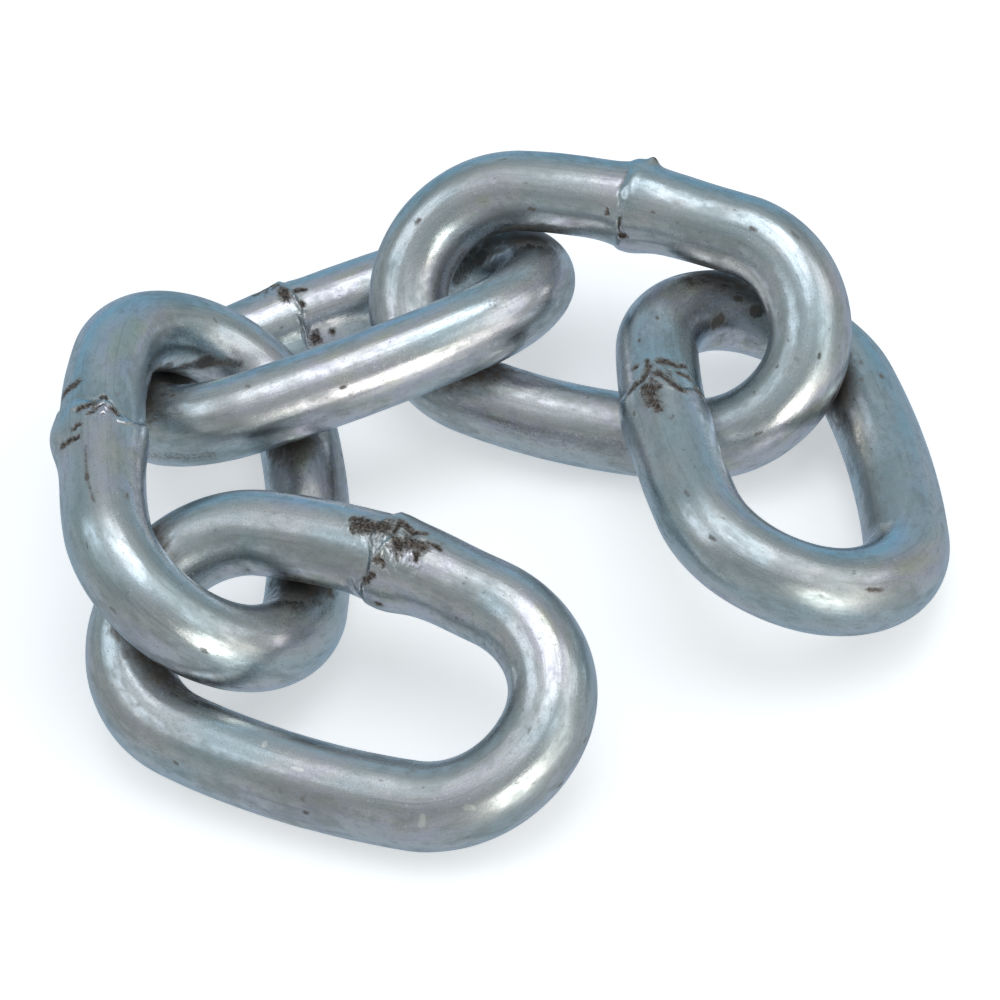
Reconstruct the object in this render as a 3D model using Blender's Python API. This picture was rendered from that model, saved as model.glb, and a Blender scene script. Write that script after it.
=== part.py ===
# A loose heap of welded steel chain: five round wire links, bright zinc plated.
#
# Each link is one length of wire bent to an oval whose long sides bow out slightly, and
# butt welded at the middle of one long side. The links pass through each other's eyes and
# lie as they come to rest on a level floor.
#
# Metres, +Z up. The origin is on the floor, at the middle of the heap. +X is to the right
# and +Y away from whoever looks at the front of the heap.

import math

import bmesh
import bpy
from mathutils import Euler, Matrix, Vector

WIRE_DIAMETER = 0.013
INSIDE_LENGTH = 0.0543
INSIDE_WIDTH = 0.0236
END_RADIUS = 0.0171  # of the wire's centreline round the two ends

WELD_GROWTH = 0.06  # how much thicker the wire is at the weld, as a share
WELD_LENGTH = 0.010

WIRE_SIDES = 16
END_STEPS = 13  # odd, so that one facet lies square across the crown of each end
SIDE_STEPS = 10

ZINC_COLOUR = (0.50, 0.56, 0.60, 1.0)
ZINC_ROUGHNESS = 0.32

WIRE_RADIUS = WIRE_DIAMETER / 2
HALF_LENGTH = (INSIDE_LENGTH + WIRE_DIAMETER) / 2
HALF_WIDTH = (INSIDE_WIDTH + WIRE_DIAMETER) / 2
END_CENTRE = HALF_LENGTH - END_RADIUS
SIDE_RADIUS = (END_CENTRE**2 + HALF_WIDTH**2 - END_RADIUS**2) / (
    2 * (HALF_WIDTH - END_RADIUS)
)
SIDE_CENTRE = SIDE_RADIUS - HALF_WIDTH
SIDE_ANGLE = math.atan2(END_CENTRE, SIDE_CENTRE)  # half of what a long side turns through

# Where each link lies: its centre in millimetres, then its tilt about its own length, the
# slope of its length and its heading, in degrees, and where along its side the weld is.
LINKS = {
    "link_1": ((-28.4, -33.3, 13.7), (22.2, 1.2, -30.3), 2.2),
    "link_2": ((-45.4, 5.0, 18.0), (39.0, 0.6, 88.2), -0.5),
    "link_3": ((-23.1, 37.6, 14.3), (-23.4, -2.9, 15.1), -3.9),
    "link_4": ((19.9, 31.1, 17.8), (36.7, 1.1, -27.2), -0.7),
    "link_5": ((42.8, -0.8, 14.2), (23.2, 3.0, 91.6), 4.1),
}


def zinc_plating(name):
    material = bpy.data.materials.new(name)
    material.use_nodes = True
    shader = material.node_tree.nodes["Principled BSDF"]
    shader.inputs["Base Color"].default_value = ZINC_COLOUR
    shader.inputs["Metallic"].default_value = 1.0
    shader.inputs["Roughness"].default_value = ZINC_ROUGHNESS
    return material


def first_section(link):
    """The wire's round section at the start of the long side on +Y, square to the wire."""
    outwards = Vector((-math.sin(SIDE_ANGLE), math.cos(SIDE_ANGLE), 0))
    along = Vector((math.cos(SIDE_ANGLE), math.sin(SIDE_ANGLE), 0))
    place = Vector((0, -SIDE_CENTRE, 0)) + outwards * SIDE_RADIUS
    axes = Matrix((outwards, (0, 0, 1), along)).transposed().to_4x4()
    half_a_side = Matrix.Rotation(math.pi / WIRE_SIDES, 4, "Z")
    ring = bmesh.ops.create_circle(
        link,
        radius=WIRE_RADIUS,
        segments=WIRE_SIDES,
        matrix=Matrix.Translation(place) @ axes @ half_a_side,
    )
    return ring["verts"] + list({edge for vert in ring["verts"] for edge in vert.link_edges})


def bend(link, section, centre, angle, steps):
    """Draws the section clockwise round a centre in the link's plane."""
    bent = bmesh.ops.spin(
        link, geom=section, cent=centre, axis=(0, 0, -1), angle=angle, steps=steps
    )
    return bent["geom_last"]


def upset_weld(link, weld_x):
    """Swells the wire where the two cut ends were forged together."""
    for vert in link.verts:
        from_weld = abs(vert.co.x - weld_x)
        if vert.co.y < 0 or from_weld > WELD_LENGTH / 2:
            continue
        middle_y = math.sqrt(SIDE_RADIUS**2 - vert.co.x**2) - SIDE_CENTRE
        centre = Vector((vert.co.x, middle_y, 0))
        growth = WELD_GROWTH * (1 + math.cos(2 * math.pi * from_weld / WELD_LENGTH)) / 2
        vert.co = centre + (vert.co - centre) * (1 + growth)


def make_link(name, weld_x):
    link = bmesh.new()
    section = first_section(link)
    side_turn = 2 * SIDE_ANGLE
    end_turn = math.pi - side_turn
    section = bend(link, section, (0, -SIDE_CENTRE, 0), side_turn, SIDE_STEPS)
    section = bend(link, section, (END_CENTRE, 0, 0), end_turn, END_STEPS)
    section = bend(link, section, (0, SIDE_CENTRE, 0), side_turn, SIDE_STEPS)
    bend(link, section, (-END_CENTRE, 0, 0), end_turn, END_STEPS)
    bmesh.ops.remove_doubles(link, verts=link.verts, dist=0.00001)
    upset_weld(link, weld_x)
    bmesh.ops.recalc_face_normals(link, faces=link.faces)
    mesh = bpy.data.meshes.new(name)
    link.to_mesh(mesh)
    link.free()
    mesh.shade_smooth()
    mesh.materials.append(zinc_plating("zinc_plating_" + name))
    obj = bpy.data.objects.new(name, mesh)
    bpy.context.scene.collection.objects.link(obj)
    return obj


def centre_on_floor(links):
    """Moves the heap so that its lowest point is at Z = 0 and its box is centred on the origin."""
    bpy.context.view_layer.update()
    points = [link.matrix_world @ vert.co for link in links for vert in link.data.vertices]
    low = Vector(min(point[axis] for point in points) for axis in range(3))
    high = Vector(max(point[axis] for point in points) for axis in range(3))
    for link in links:
        link.location -= Vector(((low.x + high.x) / 2, (low.y + high.y) / 2, low.z))


for old in list(bpy.data.objects):
    bpy.data.objects.remove(old)

heap = []
for link_name, (centre_mm, turn_degrees, weld_mm) in LINKS.items():
    placed = make_link(link_name, weld_mm / 1000)
    placed.location = Vector(centre_mm) / 1000
    placed.rotation_euler = Euler([math.radians(turn) for turn in turn_degrees], "XYZ")
    heap.append(placed)
centre_on_floor(heap)
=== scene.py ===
"""A loose heap of five welded chain links, bright zinc plated, on a pale table in soft light."""

import math

import bmesh
import bpy
import numpy as np
from mathutils import Matrix, Vector, noise
from mathutils.bvhtree import BVHTree


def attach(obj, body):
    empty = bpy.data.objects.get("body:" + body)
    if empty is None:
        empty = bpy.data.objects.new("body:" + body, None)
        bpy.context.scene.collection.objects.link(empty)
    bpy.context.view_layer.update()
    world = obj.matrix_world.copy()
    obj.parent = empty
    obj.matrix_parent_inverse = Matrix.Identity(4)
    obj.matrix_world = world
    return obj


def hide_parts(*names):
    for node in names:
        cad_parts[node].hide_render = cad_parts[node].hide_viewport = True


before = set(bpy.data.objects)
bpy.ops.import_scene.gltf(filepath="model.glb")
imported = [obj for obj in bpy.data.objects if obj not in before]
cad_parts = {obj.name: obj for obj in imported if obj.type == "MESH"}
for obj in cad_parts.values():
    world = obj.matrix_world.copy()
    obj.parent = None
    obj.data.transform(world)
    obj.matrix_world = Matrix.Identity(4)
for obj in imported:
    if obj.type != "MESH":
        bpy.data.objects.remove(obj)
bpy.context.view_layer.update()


# The camera
# It looks down on the heap from the front through a long lens, and it is held a little askew.
LENS_MM = 121.2
CAMERA_DISTANCE = 0.5108
CAMERA_ELEVATION = math.radians(44.24)
CAMERA_ROLL = math.radians(8.29)
CAMERA_TARGET = Vector((-0.00084, -0.00817, 0.0183))

camera = bpy.data.objects.new("camera", bpy.data.cameras.new("camera"))
bpy.context.scene.collection.objects.link(camera)
bpy.context.scene.camera = camera
camera.data.sensor_width = 36
camera.data.lens = LENS_MM
camera.data.clip_start = 0.01
camera.data.clip_end = 20
facing = Matrix.Rotation(math.pi / 2 - CAMERA_ELEVATION, 4, "X")
backwards = facing.to_3x3() @ Vector((0, 0, 1))
camera.matrix_world = (
    Matrix.Translation(CAMERA_TARGET + backwards * CAMERA_DISTANCE)
    @ facing
    @ Matrix.Rotation(-CAMERA_ROLL, 4, "Z")
)


# The table and the light
# A pale table top glows faintly, as thin white acrylic does. The metal does not mirror it, but a duller and
# slightly glossy sheet just under it that the camera does not see, because the real metal mirrors something
# darker than this table. Soft boxes stand above, behind, at both sides and low in front, in a dim room that
# is bluer at the back.
TABLE_SIZE = 8.0
TABLE_WHITE = "#F4F5F6"
MIRRORED_GROUND = "#C3C9CF"
GROUND_ROUGHNESS = 0.32


def linear(colour):
    """An sRGB hex colour as linear red, green, blue and alpha."""
    shares = [int(colour[start : start + 2], 16) / 255 for start in (1, 3, 5)]
    return [c / 12.92 if c <= 0.04045 else ((c + 0.055) / 1.055) ** 2.4 for c in shares] + [1]


def add_node(tree, kind, inputs=(), **settings):
    """Adds a node. A value in inputs is a number, a colour or the socket that feeds that input."""
    made = tree.nodes.new(kind)
    for setting, value in settings.items():
        setattr(made, setting, value)
    for key, value in dict(inputs).items():
        if isinstance(value, bpy.types.NodeSocket):
            tree.links.new(value, made.inputs[key])
        else:
            made.inputs[key].default_value = value
    return made


def set_ramp(ramp, stops):
    """Gives a colour ramp its stops, each a position and a hex colour, in order."""
    while len(ramp.elements) < len(stops):
        ramp.elements.new(1.0)
    for element, (position, colour) in zip(ramp.elements, stops):
        element.position = position
        element.color = linear(colour)


def new_material(name):
    """A material with an empty tree that holds its Principled BSDF and its output."""
    material = bpy.data.materials.new(name)
    material.use_nodes = True
    tree = material.node_tree
    tree.nodes.clear()
    shader = add_node(tree, "ShaderNodeBsdfPrincipled")
    add_node(tree, "ShaderNodeOutputMaterial", {"Surface": shader.outputs["BSDF"]})
    return material, tree, shader


def ground_sheet(name, height, colour, glow, gloss):
    """A level square sheet for the stage. Glow is its own light and gloss its specular level."""
    sheet = bmesh.new()
    bmesh.ops.create_grid(sheet, x_segments=1, y_segments=1, size=TABLE_SIZE / 2)
    bmesh.ops.translate(sheet, verts=sheet.verts, vec=(0, 0, height))
    mesh = bpy.data.meshes.new(name)
    sheet.to_mesh(mesh)
    sheet.free()
    material, _, shader = new_material(name)
    shader.inputs["Base Color"].default_value = linear(colour)
    shader.inputs["Roughness"].default_value = GROUND_ROUGHNESS
    shader.inputs["Specular IOR Level"].default_value = gloss
    shader.inputs["Emission Color"].default_value = linear(colour)
    shader.inputs["Emission Strength"].default_value = glow
    mesh.materials.append(material)
    obj = bpy.data.objects.new(name, mesh)
    bpy.context.scene.collection.objects.link(obj)
    return obj


table = ground_sheet("table", 0, TABLE_WHITE, 0.45, 0.0)
table.visible_glossy = False
mirrored = ground_sheet("mirrored_ground", -0.0001, MIRRORED_GROUND, 0.0, 0.9)
mirrored.visible_camera = False
mirrored.visible_diffuse = False
mirrored.visible_shadow = False


def soft_box(name, place, target, width, height, brightness, colour):
    """A flat diffuse lamp that faces the target. Brightness is what a mirror would show of it."""
    lamp = bpy.data.lights.new(name, "AREA")
    lamp.shape = "RECTANGLE"
    lamp.size = width
    lamp.size_y = height
    lamp.energy = brightness * math.pi * width * height
    lamp.color = linear(colour)[:3]
    obj = bpy.data.objects.new(name, lamp)
    bpy.context.scene.collection.objects.link(obj)
    obj.location = place
    obj.rotation_euler = (Vector(place) - Vector(target)).to_track_quat("Z", "Y").to_euler()
    return obj


soft_box("overhead_box", (0.08, 0.05, 1.1), (0, 0, 0), 0.76, 0.6, 1.15, "#F6F9FF")
soft_box("back_box", (0.36, 0.24, 1.06), (0, 0, 0), 0.34, 0.32, 1.6, "#F6F9FF")
soft_box("left_box", (-0.77, 0.06, 0.80), (0, 0, 0), 0.62, 0.54, 0.95, "#EEF5FF")
soft_box("right_box", (0.80, -0.20, 0.74), (0, 0, 0), 0.95, 0.62, 0.85, "#FBFCFF")
soft_box("front_box", (0.39, -0.95, 0.28), (0, 0, 0.02), 0.56, 0.54, 2.5, "#FFFAF0")
soft_box("fill_box", (0.80, -0.66, 0.30), (0, 0, 0.02), 0.60, 0.60, 0.62, "#FFFAF0")

world = bpy.data.worlds.new("soft_room")
world.use_nodes = True
bpy.context.scene.world = world
room = world.node_tree
room.nodes.clear()
direction = add_node(room, "ShaderNodeTexCoord").outputs["Generated"]
parts = add_node(room, "ShaderNodeSeparateXYZ", {"Vector": direction}).outputs
in_front = add_node(room, "ShaderNodeValToRGB", {"Fac": parts["Z"]})
set_ramp(in_front.color_ramp, [(0.0, "#B9BEBE"), (0.5, "#989FA0"), (0.85, "#B4BABC"), (1.0, "#E4EAF0")])
behind = add_node(room, "ShaderNodeValToRGB", {"Fac": parts["Z"]})
set_ramp(behind.color_ramp, [(0.0, "#7FBBDA"), (0.4, "#9CBBCC"), (0.85, "#C0CDD6"), (1.0, "#E4EAF0")])
backwards_share = add_node(
    room,
    "ShaderNodeMapRange",
    {"Value": parts["Y"], "From Min": 0.5, "From Max": 1.0},
    interpolation_type="SMOOTHSTEP",
)
wall = add_node(
    room,
    "ShaderNodeMix",
    {0: backwards_share.outputs["Result"], 6: in_front.outputs["Color"], 7: behind.outputs["Color"]},
    data_type="RGBA",
)
glow = add_node(room, "ShaderNodeBackground", {"Color": wall.outputs[2], "Strength": 1.0})
add_node(room, "ShaderNodeOutputWorld", {"Surface": glow.outputs["Background"]})
bpy.context.scene.view_settings.view_transform = "Standard"


# The wire of a link
# Drawn steel wire, 13 mm thick, is bent round to an oval whose long sides bow out slightly. Its two cut
# ends meet in the middle of one long side, where they are pressed together hot and welded.
MM = 0.001
WIRE_RADIUS = 6.5 * MM
HALF_LENGTH = 33.65 * MM
HALF_WIDTH = 18.3 * MM
END_RADIUS = 17.1 * MM
END_CENTRE = HALF_LENGTH - END_RADIUS
SIDE_RADIUS = (END_CENTRE**2 + HALF_WIDTH**2 - END_RADIUS**2) / (2 * (HALF_WIDTH - END_RADIUS))
SIDE_CENTRE = SIDE_RADIUS - HALF_WIDTH
SIDE_ANGLE = math.atan2(END_CENTRE, SIDE_CENTRE)
END_TURN = math.pi - 2 * SIDE_ANGLE
WIRE_LENGTH = 4 * SIDE_ANGLE * SIDE_RADIUS + 2 * END_TURN * END_RADIUS

SECTION_SIDES = 40
FINE_STEP = 0.56 * MM
COARSE_STEP = 2.2 * MM
FINE_REACH = 8 * MM  # how far the fine steps reach from the weld
CUTS = 3  # each face of the bent wire is then cut into 4 by 4
NEAR_WELD = 16  # mm from the weld that its swelling, flash and scale reach
THICKER = 0.15 * MM  # how much thicker a link of the frame is where it counts as its weld
SLIDE_REACH = 11  # mm from the weld over which the mesh is slid along to follow the seam
CONTACT_DIRT_AND_SHADE_REACH = 5 * MM  # how far the dirt and painted shade spread from where links touch


def unbend(places):
    """For places on a link: the wire's travel to them, the middle of the wire there and the way out of it.

    The travel starts at the middle of the +Y side and goes clockwise.
    """
    x, y = places[:, 0], places[:, 1]
    on_first_side = (y > 0) & (np.abs(np.arctan2(x, y + SIDE_CENTRE)) <= SIDE_ANGLE)
    round_end = np.arctan2(x - END_CENTRE, y)
    on_first_end = (round_end > SIDE_ANGLE) & (round_end <= math.pi - SIDE_ANGLE)
    half = np.where(on_first_side | on_first_end, 1, -1)
    side_turn = np.arctan2(half * x, half * y + SIDE_CENTRE)
    end_turn = np.arctan2(half * x - END_CENTRE, half * y)
    on_side = (np.abs(side_turn) <= SIDE_ANGLE) & (half * y > 0)
    turn = np.where(on_side, side_turn, end_turn)
    travel = np.where(
        on_side,
        side_turn * SIDE_RADIUS,
        SIDE_ANGLE * SIDE_RADIUS + (end_turn - SIDE_ANGLE) * END_RADIUS,
    )
    travel = travel + np.where(half < 0, WIRE_LENGTH / 2, 0)
    nothing = np.zeros(len(x))
    out = np.column_stack([half * np.sin(turn), half * np.cos(turn), nothing])
    arc_middle = np.column_stack(
        [np.where(on_side, 0, half * END_CENTRE), np.where(on_side, -half * SIDE_CENTRE, 0), nothing]
    )
    arc_radius = np.where(on_side, SIDE_RADIUS, END_RADIUS)
    return travel, arc_middle + out * arc_radius[:, None], out


def lie_of(node):
    """How a link of the frame lies: its middle, its axes as columns, and where along X its weld is.

    X runs along the link, Y towards the side that is welded, and Z is up through its thickness.
    """
    corners = [vert.co[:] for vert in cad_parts[node].data.vertices]
    places = np.unique(np.round(corners, 6), axis=0)
    middle = places.mean(axis=0)
    thin, wide, _ = np.linalg.eigh(np.cov((places - middle).T))[1].T
    thin = thin if thin[2] > 0 else -thin
    axes = np.column_stack([np.cross(wide, thin), wide, thin])
    local = (places - middle) @ axes
    _, wire_middle, _ = unbend(local)
    thickness = np.linalg.norm(local - wire_middle, axis=1)
    weld = local[thickness > WIRE_RADIUS + THICKER].mean(axis=0)
    if weld[1] < 0:
        axes[:, :2] *= -1
        weld *= -1
    return middle, axes, weld[0]


def cut_end(link, weld_turn):
    """The round section where the wire starts, on the +Y side."""
    out = Vector((math.sin(weld_turn), math.cos(weld_turn), 0))
    along = Vector((math.cos(weld_turn), -math.sin(weld_turn), 0))
    axes = Matrix((out, (0, 0, -1), along)).transposed().to_4x4()
    place = Vector((0, -SIDE_CENTRE, 0)) + out * SIDE_RADIUS
    ring = bmesh.ops.create_circle(
        link, radius=WIRE_RADIUS, segments=SECTION_SIDES, matrix=Matrix.Translation(place) @ axes
    )
    return ring["verts"] + list({edge for vert in ring["verts"] for edge in vert.link_edges})


def bend(link, section, centre, radius, angle, step):
    """Draws the section clockwise round a centre, in steps of about that length along the wire."""
    bent = bmesh.ops.spin(
        link,
        geom=section,
        cent=centre,
        axis=(0, 0, -1),
        angle=angle,
        steps=max(1, round(angle * radius / step)),
    )
    return bent["geom_last"]


def bent_wire(weld_x):
    """The whole wire of a link, bent round from its weld and back to it."""
    link = bmesh.new()
    weld_turn = math.asin(weld_x / SIDE_RADIUS)
    fine_turn = FINE_REACH / SIDE_RADIUS
    near_side = ((0, -SIDE_CENTRE, 0), SIDE_RADIUS)
    far_side = ((0, SIDE_CENTRE, 0), SIDE_RADIUS)
    right_end = ((END_CENTRE, 0, 0), END_RADIUS)
    left_end = ((-END_CENTRE, 0, 0), END_RADIUS)
    section = cut_end(link, weld_turn)
    section = bend(link, section, *near_side, fine_turn, FINE_STEP)
    section = bend(link, section, *near_side, SIDE_ANGLE - weld_turn - fine_turn, COARSE_STEP)
    section = bend(link, section, *right_end, END_TURN, COARSE_STEP)
    section = bend(link, section, *far_side, 2 * SIDE_ANGLE, COARSE_STEP)
    section = bend(link, section, *left_end, END_TURN, COARSE_STEP)
    section = bend(link, section, *near_side, SIDE_ANGLE + weld_turn - fine_turn, COARSE_STEP)
    bend(link, section, *near_side, fine_turn, FINE_STEP)
    bmesh.ops.remove_doubles(link, verts=link.verts, dist=0.01 * MM)
    bmesh.ops.recalc_face_normals(link, faces=link.faces)
    bmesh.ops.subdivide_edges(link, edges=link.edges, cuts=CUTS, use_grid_fill=True)
    return link


def rise(values, start, end):
    """0 before start, 1 past end and smooth in between."""
    share = np.clip((values - start) / (end - start), 0, 1)
    return share * share * (3 - 2 * share)


def turn_between(turn, turned):
    """How far round the wire turn is from turned, in degrees from -180 to 180."""
    return (turn - turned + 180) % 360 - 180


def spot(along, turn, place, turned, length, spread):
    """1 at a spot on the wire and fading round it. Lengths are in mm along the wire, turns in degrees."""
    return np.exp(-(((along - place) / length) ** 2) - (turn_between(turn, turned) / spread) ** 2)


def stroke(along, turn, place, turned, end_place, end_turned, width):
    """1 on a line drawn on the wire from one place and turn to another, fading over its width in mm."""
    x = along - place
    y = np.radians(turn_between(turn, turned)) * WIRE_RADIUS / MM
    end_x = end_place - place
    end_y = math.radians(turn_between(end_turned, turned)) * WIRE_RADIUS / MM
    share = np.clip((x * end_x + y * end_y) / max(end_x**2 + end_y**2, 0.001), 0, 1)
    return np.exp(-((x - share * end_x) ** 2 + (y - share * end_y) ** 2) / width**2)


def uneven(points, size, seed):
    """Smooth noise from -1 to 1 at points in mm, whose lumps are about that size."""
    shift = Vector((seed * 17.3, seed * 5.1, seed * 9.7))
    return np.array([noise.noise(Vector(point) / size + shift) for point in points])


def nearness(places, node, reach):
    """1 where another link of the frame all but touches, 0 where none is within reach."""
    near = np.zeros(len(places))
    for name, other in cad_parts.items():
        if name == node:
            continue
        mesh = other.data
        tree = BVHTree.FromPolygons(
            [vert.co for vert in mesh.vertices], [face.vertices for face in mesh.polygons]
        )
        for index, place in enumerate(places):
            distance = tree.find_nearest(place, reach)[3]
            if distance is not None:
                near[index] = max(near[index], 1 - distance / reach)
    return near


def make_link(node, seed, thick_side, seam, swell, bead, humps, crumples, ridges, scale, stains, bows):
    """A finished link in place of a node of the frame.

    Places are in mm along the wire from the weld, and turns in degrees round it, from the outer side up over
    the link. The seam is (turn, place) round the wire, with a bead of that height along it, and the wire is
    thicker by swell mm on thick_side of it. Humps and crumples are (place, turn, length, spread, height).
    Ridges, scale and stains are strokes (place, turn, place, turn, width), where a ridge also has a height,
    and a stain its strength, below 0 where it is a pale nick. A bow (place, length, distance) is where the
    wire was bent out of its oval.
    """
    middle, axes, weld_x = lie_of(node)
    link = bent_wire(weld_x)
    mesh = bpy.data.meshes.new("chain_" + node)
    link.to_mesh(mesh)
    link.free()
    local = np.empty(len(mesh.vertices) * 3)
    mesh.vertices.foreach_get("co", local)
    local = local.reshape(-1, 3)

    travel, wire_middle, out = unbend(local)
    section_way = local - wire_middle
    section_way /= np.linalg.norm(section_way, axis=1)[:, None]
    length_mm = WIRE_LENGTH / MM
    travel = ((travel - math.asin(weld_x / SIDE_RADIUS) * SIDE_RADIUS) / MM) % length_mm
    travel[travel > length_mm - 0.001] = 0
    sideways = (section_way * out).sum(axis=1)
    turn = np.degrees(np.arctan2(section_way[:, 2], sideways))
    across = np.column_stack([sideways, section_way[:, 2]]) * WIRE_RADIUS / MM
    straight = np.column_stack([travel, across])
    along = (travel + length_mm / 2) % length_mm - length_mm / 2
    signed = np.column_stack([along, across])

    # The mesh slides along the wire so that its finest rings follow the uneven seam.
    seam_turns, seam_places = zip(*sorted((turned % 360, place) for turned, place in seam))
    seam_at = np.interp(turn, seam_turns, seam_places, period=360)
    ring = np.column_stack([np.zeros(len(turn)), across])
    near = np.abs(along) < NEAR_WELD
    seam_at[near] += 0.35 * uneven(ring[near], 2.5, seed + 1) + 0.25 * uneven(ring[near], 1.0, seed + 2)
    slide = seam_at * (1 - rise(np.abs(along), 1.0, SLIDE_REACH))
    along = along + slide
    swing = -slide * MM / SIDE_RADIUS
    for places, centre_y in ((wire_middle, -SIDE_CENTRE), (section_way, 0), (out, 0)):
        x, y = places[:, 0].copy(), places[:, 1] - centre_y
        places[:, 0] = x * np.cos(swing) - y * np.sin(swing)
        places[:, 1] = x * np.sin(swing) + y * np.cos(swing) + centre_y
    for place, length, distance in bows:
        wire_middle += out * (distance * MM * np.exp(-(((along - place) / length) ** 2)))[:, None]

    # The wire is a little uneven all the way round, and waves along its length away from the weld.
    looped = local / MM
    away = rise(np.abs(along), 2, 12)
    growth = 0.05 * uneven(looped, 9.0, seed) + 0.016 * uneven(looped, 3.0, seed + 20)
    drawn = straight / np.array([22.0, 1, 1])
    growth += away * 0.028 * uneven(drawn, 2.2, seed + 30)

    # The weld: a collar past the seam, a bead along it with a groove before it, and its humps.
    near = np.abs(along) < NEAR_WELD
    place_near, turn_near, at = along[near], turn[near], signed[near]
    past_seam = thick_side * (place_near - seam_at[near])
    collar = rise(past_seam, -0.4, 0.9) * (1 - rise(past_seam, 2.5, NEAR_WELD - 1))
    added = swell * collar
    lumps = np.clip(0.5 + uneven(at, 2.2, seed + 3), 0, 1)
    added += bead * lumps * np.exp(-((past_seam - 0.45) ** 2) / 0.15)
    added -= 0.6 * bead * np.exp(-((past_seam + 0.55) ** 2) / 0.2)
    for place, turned, length, spread, tall in humps:
        added += tall * spot(place_near, turn_near, place, turned, length, spread)

    # Torn and crusted metal, with ragged edges.
    ragged_place = place_near + 0.30 * uneven(at, 1.3, seed + 4) + 0.16 * uneven(at, 0.5, seed + 5)
    ragged_turn = turn_near + 3.5 * uneven(at, 1.1, seed + 6) + 1.5 * uneven(at, 0.45, seed + 7)
    folds = np.abs(uneven(at * (1, 0.6, 0.6), 1.1, seed + 8)) + 0.5 * np.abs(uneven(at, 0.55, seed + 9))
    crust = np.zeros(len(place_near))
    for place, turned, length, spread, tall in crumples:
        here = spot(ragged_place, ragged_turn, place, turned, length, spread)
        added += tall * here * (1 - 3 * folds)
        crust = np.maximum(crust, 0.75 * here * rise(folds, 0.25, 0.5))
    for *line, width, tall in ridges:
        added += tall * stroke(ragged_place, ragged_turn, *line, width)
    for *line, width in scale:
        crack = stroke(ragged_place, ragged_turn, *line, 1.25 * width)
        added += 0.10 * stroke(ragged_place, ragged_turn, *line, 1.8 * width) - 0.20 * crack
        crust = np.maximum(crust, crack)
    growth[near] += added
    crusted = np.zeros(len(along))
    crusted[near] = crust

    stained = np.zeros(len(along))
    for *line, width, strength in stains:
        stained += strength * stroke(along, turn, *line, width)

    local = wire_middle + section_way * (WIRE_RADIUS + growth[:, None] * MM)
    placed = local @ axes.T + middle
    mesh.vertices.foreach_set("co", placed.ravel())

    # Each face keeps its own place along the wire, so that patterns do not run back across the weld.
    corner_verts = np.empty(len(mesh.loops), dtype=np.int32)
    mesh.loops.foreach_get("vertex_index", corner_verts)
    corners = straight[corner_verts].reshape(-1, 4, 3)
    across_weld = corners[:, :, 0].max(axis=1) - corners[:, :, 0].min(axis=1) > length_mm / 2
    starts = across_weld[:, None] & (corners[:, :, 0] < length_mm / 2)
    corners[:, :, 0][starts] += length_mm
    corners[:, :, 0] += seed * 400
    place_attribute = mesh.attributes.new("wire_mm", "FLOAT_VECTOR", "CORNER")
    place_attribute.data.foreach_set("vector", corners.ravel())
    # Where other links come near, the wire gets a mask for dirt and painted shade, 1 where they touch.
    contact_dirt_and_shade = nearness(placed, node, CONTACT_DIRT_AND_SHADE_REACH)
    for name, values in (("scale", crusted), ("stain", stained), ("contact_dirt_and_shade", contact_dirt_and_shade)):
        mesh.attributes.new(name, "FLOAT", "POINT").data.foreach_set("value", values)
    mesh.shade_smooth()
    mesh.update()
    mesh.materials.append(zinc)
    piece = bpy.data.objects.new("chain_" + node, mesh)
    bpy.context.scene.collection.objects.link(piece)
    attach(piece, "root")
    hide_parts(node)
    return piece


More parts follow.
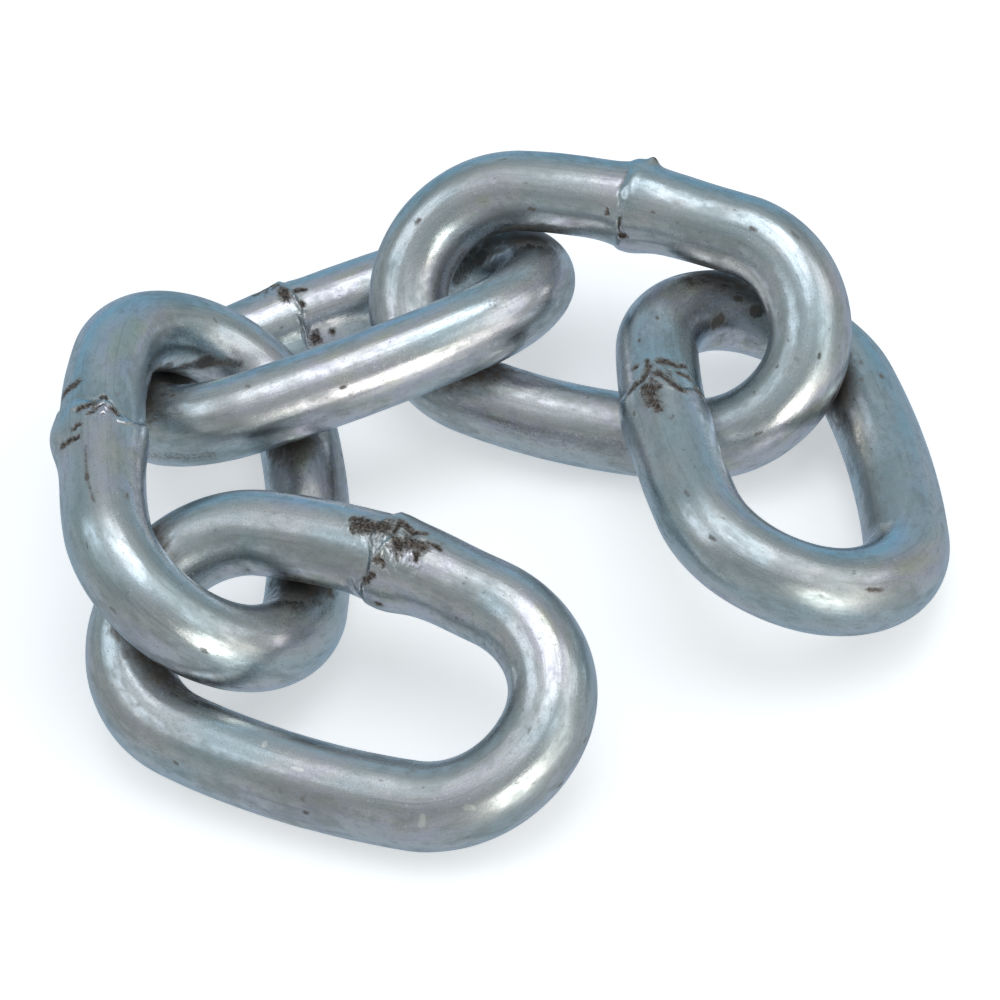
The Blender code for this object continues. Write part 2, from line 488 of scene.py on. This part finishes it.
# The zinc plating
# Bright zinc, electroplated over the drawn wire and passivated blue. The eye sees a silvery grey metal with
# fine lines along the wire, casts of teal, lilac and olive, dull stains and brown specks.
def zinc_plating():
    material, tree, shader = new_material("blue_passivated_zinc")

    def add(kind, inputs=(), **settings):
        return add_node(tree, kind, inputs, **settings)

    def pattern(size_mm, detail, stretch=1.0, roughness=0.5):
        """Noise whose lumps have that size in mm, drawn out along the wire by stretch."""
        drawn = add(
            "ShaderNodeVectorMath",
            {0: place, 1: (1 / (stretch * size_mm), 1 / size_mm, 1 / size_mm)},
            operation="MULTIPLY",
        )
        return add(
            "ShaderNodeTexNoise",
            {"Vector": drawn.outputs[0], "Scale": 1.0, "Detail": detail, "Roughness": roughness},
        ).outputs["Fac"]

    def between(value, low, high, to_low=0.0, to_high=1.0):
        return add(
            "ShaderNodeMapRange",
            {"Value": value, "From Min": low, "From Max": high, "To Min": to_low, "To Max": to_high},
            interpolation_type="SMOOTHSTEP",
        ).outputs["Result"]

    def combine(operation, first, second):
        return add("ShaderNodeMath", {0: first, 1: second}, operation=operation).outputs[0]

    def mix(factor, first, second):
        """A mix of two colours, each a hex colour or a socket."""
        colours = [linear(c) if isinstance(c, str) else c for c in (first, second)]
        node = add("ShaderNodeMix", {0: factor, 6: colours[0], 7: colours[1]}, data_type="RGBA")
        return node.outputs[2]

    place = add("ShaderNodeAttribute", attribute_name="wire_mm").outputs["Vector"]
    scale = add("ShaderNodeAttribute", attribute_name="scale").outputs["Fac"]
    stain = add("ShaderNodeAttribute", attribute_name="stain").outputs["Fac"]
    contact_dirt_and_shade = add("ShaderNodeAttribute", attribute_name="contact_dirt_and_shade").outputs["Fac"]

    drawn_lines = pattern(0.45, 3, stretch=34)
    broad_lines = pattern(1.8, 3, stretch=16)
    mottle = pattern(1.2, 5, stretch=1.8, roughness=0.6)
    grain = pattern(0.30, 3)
    patches = pattern(6.5, 5, stretch=2.4)
    cast = pattern(9.0, 3, stretch=2.0)
    speck_noise = pattern(1.5, 3, stretch=1.4)
    breakup = pattern(0.45, 5, roughness=0.65)

    tints = add("ShaderNodeValToRGB", {"Fac": between(cast, 0.25, 0.75)})
    set_ramp(
        tints.color_ramp,
        [(0.0, "#BACBD1"), (0.35, "#C8CFD2"), (0.6, "#D0D2D3"), (0.8, "#D0CFD8"), (1.0, "#CFCFC2")],
    )
    colour = tints.outputs["Color"]
    dull = between(combine("ADD", patches, combine("MULTIPLY", mottle, 0.5)), 0.70, 0.92)
    colour = mix(combine("MULTIPLY", dull, 0.35), colour, "#8B928C")
    colour = mix(between(mottle, 0.45, 0.70, 0.0, 0.20), colour, "#7E8889")
    colour = mix(between(drawn_lines, 0.52, 0.72, 0.0, 0.18), colour, "#68716F")
    colour = mix(between(grain, 0.50, 0.72, 0.0, 0.20), colour, "#6C7474")

    specks = between(speck_noise, 0.64, 0.76)
    specks = combine("MULTIPLY", specks, between(patches, 0.42, 0.60))
    stained = between(combine("ADD", stain, breakup), 0.75, 1.35)
    nick = between(stain, -0.25, -0.70)
    # Near other links the metal is painted dark brown, partly as dirt and partly as painted shade between the
    # links.
    dirt_and_shade_near_contacts = between(combine("ADD", contact_dirt_and_shade, combine("MULTIPLY", mottle, 0.9)), 0.70, 1.20)
    dirt_and_shade = combine("MAXIMUM", combine("MULTIPLY", specks, 0.7), combine("MAXIMUM", stained, dirt_and_shade_near_contacts))
    dirt_and_shade = combine("MULTIPLY", dirt_and_shade, 0.85)
    colour = mix(dirt_and_shade, colour, mix(between(mottle, 0.4, 0.6), "#2E2822", "#5A4B3D"))
    colour = mix(combine("MULTIPLY", nick, 0.8), colour, "#F1F1EC")
    halo = between(scale, 0.02, 0.60, 0.0, 0.45)
    colour = mix(halo, colour, "#8A7F73")
    crust = between(combine("ADD", scale, combine("MULTIPLY", breakup, 1.6)), 0.98, 1.80)
    colour = mix(crust, colour, mix(between(breakup, 0.42, 0.62), "#615448", "#251D18"))

    roughness = between(patches, 0.3, 0.7, 0.19, 0.28)
    roughness = combine("ADD", roughness, between(mottle, 0.35, 0.70, 0.0, 0.08))
    roughness = combine("ADD", roughness, combine("MULTIPLY", dull, 0.06))
    roughness = combine("ADD", roughness, combine("MULTIPLY", dirt_and_shade, 0.25))
    roughness = combine("MAXIMUM", roughness, combine("MULTIPLY", crust, 0.7))
    bare = combine("SUBTRACT", 1.0, combine("MAXIMUM", crust, combine("MULTIPLY", dirt_and_shade, 0.6)))

    height = combine("MULTIPLY", drawn_lines, 0.008)
    height = combine("ADD", height, combine("MULTIPLY", broad_lines, 0.055))
    height = combine("ADD", height, combine("MULTIPLY", mottle, 0.030))
    height = combine("ADD", height, combine("MULTIPLY", grain, 0.007))
    height = combine("ADD", height, combine("MULTIPLY", crust, combine("MULTIPLY", breakup, 0.25)))
    bump = add("ShaderNodeBump", {"Strength": 1.0, "Distance": MM, "Height": height})

    tree.links.new(colour, shader.inputs["Base Color"])
    tree.links.new(roughness, shader.inputs["Roughness"])
    tree.links.new(bare, shader.inputs["Metallic"])
    tree.links.new(bump.outputs["Normal"], shader.inputs["Normal"])
    shader.inputs["Specular Tint"].default_value = linear("#EAF4FF")
    return material


zinc = zinc_plating()


# The front link
# It lies almost flat and is free at its right end. Its weld, on the far side, is torn and crusted with scale,
# and the wire beyond the seam stands out into the eye.
make_link(
    "link_1",
    seed=1,
    thick_side=1,
    seam=[(0, -0.6), (33, -1.1), (66, -2.0), (99, -1.2), (132, -0.6), (153, -1.6), (186, -2.4), (240, -1.2)],
    swell=0.32,
    bead=0.20,
    humps=[(0.3, 33, 2.2, 26, 0.45), (0.4, -168, 4.2, 48, 0.9)],
    crumples=[(2.6, 84, 4.0, 28, 0.28), (-2.6, 70, 2.4, 12, 0.14)],
    ridges=[
        (-0.3, 114, 1.2, 90, 0.35, 0.35),
        (1.2, 90, 1.5, 75, 0.35, 0.30),
        (3.2, 84, 3.4, 99, 0.35, 0.30),
        (-3.8, 153, -3.1, -174, 0.4, -0.30),
        (-3.1, -174, -1.5, -165, 0.4, -0.30),
    ],
    scale=[
        (-5.8, 66, -3.8, 63, 0.5),
        (-4.5, 75, -0.1, 66, 1.1),
        (-5.2, 84, -4.7, 86, 0.3),
        (1.2, 69, 1.3, 51, 0.5),
        (1.3, 51, 3.8, 60, 0.5),
        (3.8, 60, 5.5, 51, 0.5),
        (2.1, 81, 3.2, 90, 0.8),
        (3.8, 78, 6.6, 75, 0.8),
        (5.8, 81, 6.1, 93, 0.5),
        (6.7, 66, 8.7, 66, 0.4),
        (0.6, 111, 1.3, 112, 0.6),
        (-1.1, 144, 0.2, 132, 0.5),
        (1.6, 171, 0.9, 172, 0.35),
        (-0.8, -165, -0.6, -163, 0.3),
    ],
    stains=[
        (46.9, -3, 47.3, -1, 0.5, 0.8),
        (79.2, 36, 79.8, 36, 0.5, 0.8),
        (-73.6, 42, -73.0, 44, 0.4, 0.8),
        (-85.5, 107, -85.3, 113, 0.4, -1),
        (81.2, 90, 82.6, 90, 0.3, -1),
        (62.9, 47, 62.7, 60, 0.4, -1),
        (56.7, 57, 57.2, 60, 0.5, -1),
        (22, 168, 44, 160, 1.3, 0.45),
    ],
    bows=[(22, 12, -0.8), (13, 10, -0.55), (37, 7, 0.3), (87, 24, -0.25), (-87, 24, -0.25)],
)


# The left link
# It leans over the front link and the middle one. A lump of flash stands out of its weld on the outer side.
make_link(
    "link_2",
    seed=2,
    thick_side=-1,
    seam=[(-24, 4), (21, 3), (51, 1.5), (63, 2.3), (75, 0.9), (81, -1.2), (111, -0.6), (150, 3.2), (240, 4)],
    swell=0.28,
    bead=0.12,
    humps=[(-0.4, -24, 4.2, 34, 1.25), (0.0, 168, 4.0, 40, 0.35)],
    crumples=[(0.5, 55, 2.2, 22, 0.12)],
    ridges=[(-2.6, 81, -1.7, 105, 0.25, 0.25), (-0.6, 63, 0.8, 69, 0.4, 0.2), (1.2, 20, 1.2, 28, 0.4, 0.2)],
    scale=[
        (7.0, -3, 7.0, 24, 0.72),
        (0.6, 30, 0.9, 51, 0.54),
        (2.5, 61, 2.5, 65, 0.42),
        (0.1, 75, -1.0, 81, 0.54),
        (-3.0, 24, -2.6, 30, 0.48),
        (-4.7, 0, -5.2, 27, 0.54),
        (1.7, -24, 3.1, -21, 0.6),
        (-1.0, 45, -1.0, 47, 0.36),
    ],
    stains=[
        (-7.7, 39, -13.8, 39, 0.5, 0.7),
        (-13.8, 39, -19.0, 45, 0.4, 0.7),
        (-42, 24, -41.5, 26, 0.5, 0.8),
        (-18, 90, -17.6, 91, 0.5, 0.8),
        (34, -150, 42, 172, 1.8, 0.75),
        (42, 172, 50, 150, 1.3, 0.75),
    ],
    bows=[(11, 7, 0.35), (-16, 8, 0.35)],
)


# The middle link
# It leans on the left link and passes through the upper one, with its weld on the far side.
make_link(
    "link_3",
    seed=3,
    thick_side=-1,
    seam=[(0, 0.2), (75, 0.3), (111, 0.4), (129, 0.9), (147, 0.9), (165, 0.4), (204, 0.0), (300, 0.0)],
    swell=0.25,
    bead=0.18,
    humps=[(-0.3, 72, 2.2, 28, 0.40)],
    crumples=[(-1.8, 92, 2.6, 22, 0.16)],
    ridges=[
        (0.4, 111, 0.9, 129, 0.30, 0.45),
        (0.9, 129, 0.9, 150, 0.40, 0.45),
        (0.4, 160, 0.0, -150, 0.35, -0.45),
    ],
    scale=[
        (-3.2, 75, -2.0, 75, 1.0),
        (-0.4, 105, -0.7, 123, 0.8),
        (-4.6, 87, -4.2, 87, 0.6),
        (1.4, 114, 3.0, 120, 0.4),
        (1.6, 139, 1.6, 143, 0.45),
        (1.7, -166, 1.7, -158, 0.9),
        (4.8, -164, 4.8, -160, 0.45),
    ],
    stains=[
        (-78.7, 12, -78.2, 12, 0.5, 0.8),
        (-65.3, 57, -64.9, 58, 0.5, 0.8),
        (-54.1, 72, -53.5, 72, 0.6, 0.8),
        (31, 176, 40, 146, 2.2, 0.75),
        (40, 146, 49, 122, 1.2, 0.65),
        (-58, -30, -46, -16, 2.0, 0.5),
        (70, 48, 56, 40, 3.0, 0.42),
    ],
    bows=[(87, 22, 0.3), (-87, 22, 0.3)],
)


# The upper link
# It leans back on its neighbours. Its weld has a sharp step on the left and a torn peak on the outer side.
make_link(
    "link_4",
    seed=4,
    thick_side=1,
    seam=[(30, -0.9), (48, -0.2), (84, -0.3), (114, 0.2), (147, 0.3), (189, -1.5), (260, -0.5), (330, -0.8)],
    swell=0.32,
    bead=0.03,
    humps=[
        (0.8, 18, 2.4, 30, 0.75),
        (2.3, 15, 0.8, 10, 1.0),
        (0.6, -172, 3.6, 50, 0.85),
        (3.2, 62, 2.6, 22, 0.25),
    ],
    crumples=(),
    ridges=[
        (0.4, 100, 0.2, 140, 0.28, -0.25),
        (0.3, 140, 1.5, 148, 0.30, -0.25),
        (1.2, 55, 1.2, 92, 0.7, 0.12),
    ],
    scale=[
        (1.8, 15, 2.5, 17, 0.5),
        (0.3, 122, 0.3, 140, 0.18),
        (0.5, 146, 1.5, 147, 0.35),
        (-2.0, 114, -2.0, 120, 0.35),
    ],
    stains=[
        (-35.9, 84, -35.3, 84, 0.6, 0.8),
        (-15.5, 129, -14.6, 129, 0.6, 0.8),
        (5.6, 103, 6.0, 103, 0.4, 0.7),
        (21.9, 84, 22.6, 84, 0.6, 0.8),
        (43.9, 60, 44.4, 60, 0.5, 0.8),
        (57, 60, 57.6, 60, 0.5, 0.8),
        (-54, -170, -34, 176, 1.6, 0.65),
        # These two broad stains darken the low bar, partly as speckled dirt and partly as painted shade from
        # the neighbouring links.
        (72, 64, 87, 60, 3.4, 0.40),
        (-83, 60, -78, 60, 3.4, 0.40),
    ],
    bows=[(-18, 10, 0.25), (13, 9, -0.4), (45, 9, 0.35), (87, 20, 0.2), (-87, 20, 0.2)],
)


# The right link
# It lies almost flat under the upper one. Brown scale arches over its weld, on the left side.
make_link(
    "link_5",
    seed=5,
    thick_side=-1,
    seam=[(-6, 1.6), (21, 0.4), (42, 0.8), (54, 2), (63, 1.3), (90, -2.2), (123, -1.3), (180, -1), (270, 0)],
    swell=0.36,
    bead=0.08,
    humps=[(-2.0, -6, 3.2, 30, 0.25)],
    crumples=[(0.6, 60, 2.6, 30, 0.14)],
    ridges=[(-1.2, 66, -3.0, 80, 0.5, 0.12)],
    scale=[
        (0.4, 21, 0.8, 42, 0.75),
        (0.8, 42, 3.3, 54, 0.62),
        (3.3, 54, 5.0, 51, 0.38),
        (4.7, 31, 4.7, 36, 0.5),
        (1.3, 63, -0.8, 75, 0.69),
        (-0.8, 75, -3.0, 90, 0.75),
        (4.2, 69, 3.4, 90, 0.62),
        (3.4, 90, 3.9, 105, 0.5),
        (1.6, 93, 1.1, 111, 0.44),
        (-1.2, 42, -2.2, 60, 0.62),
        (-2.6, 48, -4.5, 48, 1.12),
        (-4.5, 48, -6.7, 54, 0.75),
        (-1.3, 123, -1.1, 138, 1.),
        (-1.1, 138, -2.5, 150, 0.75),
    ],
    stains=[
        (15, 72, 15.5, 72, 0.5, 0.8),
        (10.3, 45, 10.8, 45, 0.5, 0.8),
        (-9.5, 66, -9.0, 70, 0.7, 0.6),
        (-24.9, 48, -24.4, 48, 0.5, 0.8),
        (-31.7, 36, -31.2, 36, 0.5, 0.8),
        (69.5, 90, 70.0, 90, 0.6, 0.8),
        (-53, 45, -51, 46, 0.5, 0.8),
        (27.6, 156, 30.5, 152, 0.9, 0.85),
        (35.0, 123, 36.0, 124, 0.7, 0.8),
        (39.4, 141, 40.6, 140, 0.9, 0.85),
        (31.9, 111, 32.6, 112, 0.5, 0.7),
        (28, 150, 44, 136, 2.6, 0.45),
    ],
    bows=[(52, 9, -0.2)],
)
